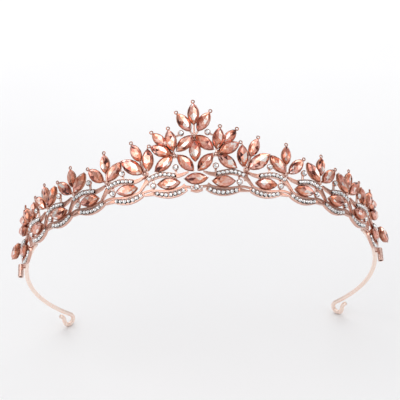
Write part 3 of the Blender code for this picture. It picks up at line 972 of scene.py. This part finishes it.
def add_end_leaf(materials, metal, word, rng, mirror):
    """The leaf that leans off the last link, its strut, and the saddle that the end tube is soldered to."""
    s, h, d = TUBE_AT
    saddle_at = s - TUBE_RADIUS - SADDLE_BESIDE_TUBE
    low, high = (h - below for below in SADDLE_BELOW_TOP)
    upright(metal, saddle_at, SADDLE_HALF_WIDTH, low, high, 0.0, d)
    lean = Matrix.Rotation(-math.radians(END_LEAF_LEAN), 4, "Y")
    frame = crown_frame(*END_LEAF, END_LEAF_OUT) @ lean
    leaf_setting(metal, frame, STONE_LENGTH)
    strut_at = END_LEAF[0] - STRUT_BESIDE_LEAF
    strut_front = END_LEAF_OUT + STRUT_PAST_LEAF
    upright(metal, strut_at, STRUT_HALF_WIDTH, *STRUT_SPAN, STRUT_BACK, strut_front)
    leaf = Shape()
    leaf_stone(leaf, frame, STONE_LENGTH, rng)
    add_champagne(materials, "gem_end_leaf_" + word, leaf, mirror=mirror)


def add_flowers(materials):
    """The crest's three flowers. The side ones are mirrored, but each stone has its own facets."""
    metal = Shape()
    hub(metal, CENTRE_HUB)
    petal_settings(metal, CENTRE_HUB, CENTRE_PETALS, range(RINGED_PETALS))
    add_casting(materials, "flower_centre", metal, ("flower_centre",))
    for number, petal in enumerate(CENTRE_PETALS, 1):
        place = from_hub(CENTRE_HUB, petal)
        add_stone(materials, f"stone_flower_centre_{number}", crown_frame(*place), petal[3])
    for side, word in ((1, "right"), (-1, "left")):
        mirror = side < 0
        metal, clear = Shape(), Shape()
        rng = random.Random("side flower " + word)
        hub(metal, SIDE_HUB)
        petal_settings(metal, SIDE_HUB, SIDE_PETALS, range(RINGED_PETALS))
        rib(metal, *ROUND_STEM)
        set_round(metal, clear, crown_frame(*ROUND_BETWEEN_PETALS), rng)
        add_casting(materials, "flower_" + word, metal, ("flower_" + word,), mirror)
        add_clear(materials, "round_flower_" + word, clear, mirror)
        for number, petal in enumerate(SIDE_PETALS, 1):
            s, h, tilt = from_hub(SIDE_HUB, petal)
            tilt = tilt if side > 0 else 180.0 - tilt
            frame = crown_frame(side * s, h, tilt)
            add_stone(materials, f"stone_flower_{word}_{number}", frame, petal[3])


def add_fan_foot(metal, s):
    """The foot behind the links and the block that joins it to the hub."""
    bottom, hub_height, back = FAN_FOOT_BOTTOM, FAN_HUB_HEIGHT, FAN_FOOT_BACK
    upright(metal, s, FAN_FOOT_HALF_WIDTH, bottom, hub_height, back, FAN_FOOT_FRONT)
    low, high = hub_height - FAN_BLOCK_BELOW, hub_height + FAN_BLOCK_ABOVE
    upright(metal, s, FAN_BLOCK_HALF_WIDTH, low, high, back, FAN_BLOCK_FRONT)


def add_fans(materials):
    """The fans that stand along the band, beside the crest."""
    for number in range(1, FANS_PER_SIDE + 1):
        s = fan_at(number)
        place = (s, FAN_HUB_HEIGHT)
        petals = fan_petals(number)
        ringed = (1,) if number == 1 else (0, 1)
        for side, word in ((1, "right"), (-1, "left")):
            metal, leaves = Shape(), Shape()
            petal_settings(metal, place, petals, ringed)
            rng = random.Random(f"fan {word} {number}")
            for petal in petals:
                leaf_stone(leaves, crown_frame(*from_hub(place, petal)), petal[3], rng)
            hub(metal, place)
            add_fan_foot(metal, s)
            node = f"fan_{word}_{number}"
            add_casting(materials, node, metal, (node,), side < 0)
            add_champagne(materials, "gems_" + node, leaves, (node,), side < 0)


def arm_points():
    """Points along the right arm, then round the eye at its end."""
    start = crown_point(ARM_STARTS_AT, ARM_HEIGHT, ARM_BEHIND)
    heading = ARM_STARTS_AT / BAND_RADIUS
    point = start.copy()
    points = [point.copy()]
    length = ARM_SOLDERED_LENGTH + ARM_FREE_LENGTH
    seated_radius = Vector((start.x, start.y)).length
    for i in range(round(length / ARM_STEP)):
        gone = (i + 0.5) * ARM_STEP
        free = (gone - ARM_SOLDERED_LENGTH) / ARM_FREE_LENGTH
        bend = 1 / ARM_BEND_RADIUS + (1 / ARM_END_RADIUS - 1 / ARM_BEND_RADIUS) * free
        if free < 0:
            bend = 1 / seated_radius
        heading += bend * ARM_STEP / 2
        point += Vector((math.cos(heading), math.sin(heading), 0.0)) * ARM_STEP
        heading += bend * ARM_STEP / 2
        if (i + 1) % ARM_STEPS_PER_POINT == 0:
            points.append(point.copy())
    along = Vector((math.cos(heading), math.sin(heading), 0.0))
    outward = Vector((math.sin(heading), -math.cos(heading), 0.0))
    plane = math.radians(EYE_PLANE)
    across = outward * math.cos(plane) + Vector((0.0, 0.0, math.sin(plane)))
    eye = [point + along * a + across * b for a, b in EYE_PATH]
    return points + smooth_path([points[-1], *eye], EYE_STEPS)[1:]


def add_arms(materials):
    """The wire arms, with the eyes bent from their ends."""
    shape = Shape()
    shape.loft(sweep(arm_points(), WIRE_RADIUS, WIRE_SIDES))
    for side, word in ((1, "right"), (-1, "left")):
        node = "headband_wire_" + word
        make_piece("arm_" + word, shape, materials["wire"], (node,), mirror=side < 0)


def add_tubes(materials):
    """The short open tube at each end of the band."""
    top = Matrix.Translation(crown_point(*TUBE_AT))
    section = (
        (TUBE_BORE, 0.0),
        (TUBE_RADIUS - TUBE_EASE, 0.0),
        (TUBE_RADIUS, -TUBE_EASE),
        (TUBE_RADIUS, TUBE_EASE - TUBE_LENGTH),
        (TUBE_RADIUS - TUBE_EASE, -TUBE_LENGTH),
        (TUBE_BORE + TUBE_EASE, -TUBE_LENGTH),
        (TUBE_BORE, TUBE_EASE - TUBE_LENGTH),
    )
    shape = Shape()
    shape.loft([placed(top, circle(r, z, TUBE_SIDES)) for r, z in section], closed=True)
    for side, word in ((1, "right"), (-1, "left")):
        node = "end_tube_" + word
        make_piece("tube_" + word, shape, materials["gold"], (node,), mirror=side < 0)


# Materials.

PATCHES_PER_METRE = 900.0
PATCH_STRENGTH = 0.3
GRAINS_PER_METRE = 4500.0
GRAIN_STRENGTH = 0.12
GRAIN_DEPTH = 0.00005
SMOOTHER = 0.06
ROUGHER = 0.08
FACETS_PER_METRE = 1100.0
FACET_SPREAD = 0.11
STONE_ROUGHNESS = 0.2
GLASS_IOR = 1.55
POLISH_WEIGHT = 0.2
POLISH_ROUGHNESS = 0.03
# The colour sockets of a mix node, which share their names with its number sockets.
COLOUR_A = 6
COLOUR_B = 7
COLOUR_RESULT = 2


def new_material(name):
    made = bpy.data.materials.new(name)
    made.use_nodes = True
    nodes = made.node_tree.nodes
    return made, nodes, made.node_tree.links, nodes["Principled BSDF"]


def ramp(nodes, stops):
    node = nodes.new("ShaderNodeValToRGB")
    elements = node.color_ramp.elements
    while len(elements) < len(stops):
        elements.new(0.5)
    for element, (place, colour) in zip(elements, stops):
        element.position = place
        element.color = (*colour, 1.0)
    return node


def noise(nodes, links, scale, detail=3.0):
    where = nodes.new("ShaderNodeTexCoord")
    node = nodes.new("ShaderNodeTexNoise")
    node.inputs["Scale"].default_value = scale
    node.inputs["Detail"].default_value = detail
    links.new(where.outputs["Object"], node.inputs["Vector"])
    return node


def metal(name, dark, deep, pale, rough):
    """Plated metal: patchy tone and gloss over a fine cast grain. Low values of the tone attribute turn it
    towards the dark colour, which is painted shade.
    """
    made, nodes, links, shader = new_material(name)
    shader.inputs["Metallic"].default_value = 1.0
    patches = noise(nodes, links, PATCHES_PER_METRE)
    tone = nodes.new("ShaderNodeAttribute")
    tone.attribute_name = "tone"
    level = nodes.new("ShaderNodeMath")
    level.operation = "MULTIPLY_ADD"
    level.inputs[1].default_value = PATCH_STRENGTH
    links.new(patches.outputs["Fac"], level.inputs[0])
    links.new(tone.outputs["Fac"], level.inputs[2])
    # The dark end of this ramp is painted shade where the tone attribute is low.
    tint = ramp(nodes, ((0.2, dark), (0.6, deep), (0.7, pale)))
    links.new(level.outputs["Value"], tint.inputs["Fac"])
    links.new(tint.outputs["Color"], shader.inputs["Base Color"])
    gloss = nodes.new("ShaderNodeMapRange")
    gloss.inputs["To Min"].default_value = rough - SMOOTHER
    gloss.inputs["To Max"].default_value = rough + ROUGHER
    links.new(patches.outputs["Fac"], gloss.inputs["Value"])
    links.new(gloss.outputs["Result"], shader.inputs["Roughness"])
    grain = noise(nodes, links, GRAINS_PER_METRE, 2.0)
    bump = nodes.new("ShaderNodeBump")
    bump.inputs["Strength"].default_value = GRAIN_STRENGTH
    bump.inputs["Distance"].default_value = GRAIN_DEPTH
    links.new(grain.outputs["Fac"], bump.inputs["Height"])
    links.new(bump.outputs["Normal"], shader.inputs["Normal"])
    return made


def cut_stone(name, plain_stops, blush_stops, metallic):
    """Foil-backed cut glass: each facet has its own tone, which paints its highlight or shade, broken up by
    a pattern that paints the facets behind it.
    """
    made, nodes, links, shader = new_material(name)
    where = nodes.new("ShaderNodeTexCoord")
    behind = nodes.new("ShaderNodeTexVoronoi")
    behind.inputs["Scale"].default_value = FACETS_PER_METRE
    links.new(where.outputs["Object"], behind.inputs["Vector"])
    grey = nodes.new("ShaderNodeSeparateColor")
    links.new(behind.outputs["Color"], grey.inputs["Color"])
    spread = nodes.new("ShaderNodeMapRange")
    spread.inputs["To Min"].default_value = -FACET_SPREAD
    spread.inputs["To Max"].default_value = FACET_SPREAD
    links.new(grey.outputs["Red"], spread.inputs["Value"])
    tone = nodes.new("ShaderNodeAttribute")
    tone.attribute_name = "tone"
    total = nodes.new("ShaderNodeMath")
    total.operation = "ADD"
    links.new(spread.outputs["Result"], total.inputs[0])
    links.new(tone.outputs["Fac"], total.inputs[1])
    blush = nodes.new("ShaderNodeAttribute")
    blush.attribute_name = "blush"
    mixed = nodes.new("ShaderNodeMix")
    mixed.data_type = "RGBA"
    links.new(blush.outputs["Fac"], mixed.inputs["Factor"])
    for stops, socket in ((plain_stops, COLOUR_A), (blush_stops, COLOUR_B)):
        tint = ramp(nodes, stops)
        links.new(total.outputs["Value"], tint.inputs["Fac"])
        links.new(tint.outputs["Color"], mixed.inputs[socket])
    links.new(mixed.outputs[COLOUR_RESULT], shader.inputs["Base Color"])
    shader.inputs["Metallic"].default_value = metallic
    shader.inputs["Roughness"].default_value = STONE_ROUGHNESS
    shader.inputs["IOR"].default_value = GLASS_IOR
    shader.inputs["Coat Weight"].default_value = POLISH_WEIGHT
    shader.inputs["Coat Roughness"].default_value = POLISH_ROUGHNESS
    return made


# Colours for the facet tones: the darkest are painted shade and the whitest painted highlights.
ORANGE_TONES = (
    (0.0, (0.06, 0.014, 0.01)),
    (0.17, (0.24, 0.05, 0.026)),
    (0.34, (0.58, 0.13, 0.05)),
    (0.5, (0.8, 0.27, 0.15)),
    (0.66, (0.93, 0.44, 0.3)),
    (0.82, (1.0, 0.64, 0.5)),
    (0.95, (1.0, 0.96, 0.9)),
)
BLUSH_TONES = (
    (0.0, (0.05, 0.018, 0.018)),
    (0.17, (0.19, 0.065, 0.06)),
    (0.34, (0.44, 0.155, 0.125)),
    (0.5, (0.68, 0.3, 0.25)),
    (0.66, (0.86, 0.46, 0.4)),
    (0.82, (0.97, 0.68, 0.62)),
    (0.95, (1.0, 0.97, 0.96)),
)
CLEAR_TONES = (
    (0.0, (0.03, 0.035, 0.035)),
    (0.3, (0.22, 0.23, 0.23)),
    (0.6, (0.66, 0.67, 0.67)),
    (0.85, (1.0, 1.0, 1.0)),
)


# The first colour of each set is where low tones lead. On the castings it paints shade on collets, cups,
# tip rings and strand grooves and walls.
PLATING = ((0.44, 0.17, 0.1), (0.76, 0.48, 0.4), (0.86, 0.63, 0.55))
PALE_PLATING = ((0.6, 0.36, 0.28), (1.0, 0.77, 0.67), (1.0, 0.87, 0.78))


def make_materials():
    return {
        "gold": metal("plated_rose_gold", *PLATING, 0.25),
        "wire": metal("brushed_rose_gold", *PALE_PLATING, 0.36),
        "champagne": cut_stone("champagne_facets", ORANGE_TONES, BLUSH_TONES, 0.85),
        "clear": cut_stone("clear_facets", CLEAR_TONES, CLEAR_TONES, 0.7),
    }


# The studio.

FLOOR_TINTS = ((0.35, (0.86, 0.862, 0.87)), (0.65, (0.9, 0.902, 0.907)))
# The tent's tone from the horizon, at 0, to straight up, at 1.
TENT_TINTS = (
    (0.0, (0.9, 0.9, 0.91)),
    (0.08, (0.5, 0.48, 0.48)),
    (0.3, (0.5, 0.48, 0.48)),
    (0.5, (0.92, 0.92, 0.93)),
    (0.8, (0.95, 0.95, 0.96)),
)


def add_floor(lowest):
    """A pale board under the tiara's lowest point."""
    mesh = bpy.data.meshes.new("floor")
    signs = ((-1, -1), (1, -1), (1, 1), (-1, 1))
    corners = [(x * FLOOR_REACH, y * FLOOR_REACH, lowest) for x, y in signs]
    mesh.from_pydata(corners, [], [(0, 1, 2, 3)])
    made, nodes, links, shader = new_material("pale_board")
    shader.inputs["Roughness"].default_value = 0.6
    mottle = noise(nodes, links, 3.0)
    tint = ramp(nodes, FLOOR_TINTS)
    links.new(mottle.outputs["Fac"], tint.inputs["Fac"])
    links.new(tint.outputs["Color"], shader.inputs["Base Color"])
    mesh.materials.append(made)
    floor = bpy.data.objects.new("floor", mesh)
    bpy.context.scene.collection.objects.link(floor)


def add_light(name, where, aim, size, power):
    light = bpy.data.lights.new(name, "AREA")
    light.shape = "RECTANGLE"
    light.size, light.size_y = size
    light.energy = power
    obj = bpy.data.objects.new(name, light)
    obj.location = where
    obj.rotation_euler = (Vector(aim) - Vector(where)).to_track_quat("-Z", "Y").to_euler()
    bpy.context.scene.collection.objects.link(obj)


def add_studio():
    """A white tent that darkens towards the horizon, with soft panels over the tiara and behind it."""
    world = bpy.data.worlds.new("studio")
    world.use_nodes = True
    nodes, links = world.node_tree.nodes, world.node_tree.links
    background = nodes["Background"]
    background.inputs["Strength"].default_value = TENT_STRENGTH
    where = nodes.new("ShaderNodeTexCoord")
    split = nodes.new("ShaderNodeSeparateXYZ")
    links.new(where.outputs["Generated"], split.inputs["Vector"])
    tint = ramp(nodes, TENT_TINTS)
    links.new(split.outputs["Z"], tint.inputs["Fac"])
    links.new(tint.outputs["Color"], background.inputs["Color"])
    scene = bpy.context.scene
    scene.world = world
    scene.view_settings.view_transform = "Standard"
    for light in LIGHTS:
        add_light(*light)


def add_camera():
    """The camera stands below the ring's plane, and the worn pose then raises it above the floor."""
    below, turn, roll = (math.radians(a) for a in (VIEW_BELOW_RING, VIEW_TURN, VIEW_ROLL))
    right = Vector((math.cos(turn), -math.sin(turn), 0.0))
    level = Vector((math.sin(turn), math.cos(turn), 0.0))
    forward = level * math.cos(below) + Vector((0.0, 0.0, math.sin(below)))
    up = Vector((0.0, 0.0, math.cos(below))) - level * math.sin(below)
    rolled = right * math.cos(roll) - up * math.sin(roll)
    upright_axis = right * math.sin(roll) + up * math.cos(roll)
    place = Vector((0.0, -BAND_RADIUS, 0.0)) - forward * VIEW_DISTANCE
    frame_at = Matrix((rolled, upright_axis, -forward)).transposed().to_4x4()
    frame_at.translation = place * MM
    camera = bpy.data.cameras.new("camera")
    camera.lens = LENS
    camera.shift_x, camera.shift_y = SHIFT
    camera.clip_start = CLIP_START
    obj = bpy.data.objects.new("camera", camera)
    obj.matrix_world = Matrix.Rotation(-math.radians(FRONT_RAISED), 4, "X") @ frame_at
    bpy.context.scene.collection.objects.link(obj)
    bpy.context.scene.camera = obj


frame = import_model()
cad_low, cad_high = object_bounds()
finishes = make_materials()
add_links(finishes)
add_flowers(finishes)
add_fans(finishes)
add_arms(finishes)
add_tubes(finishes)
add_floor(cad_low.z)
add_studio()
add_camera()
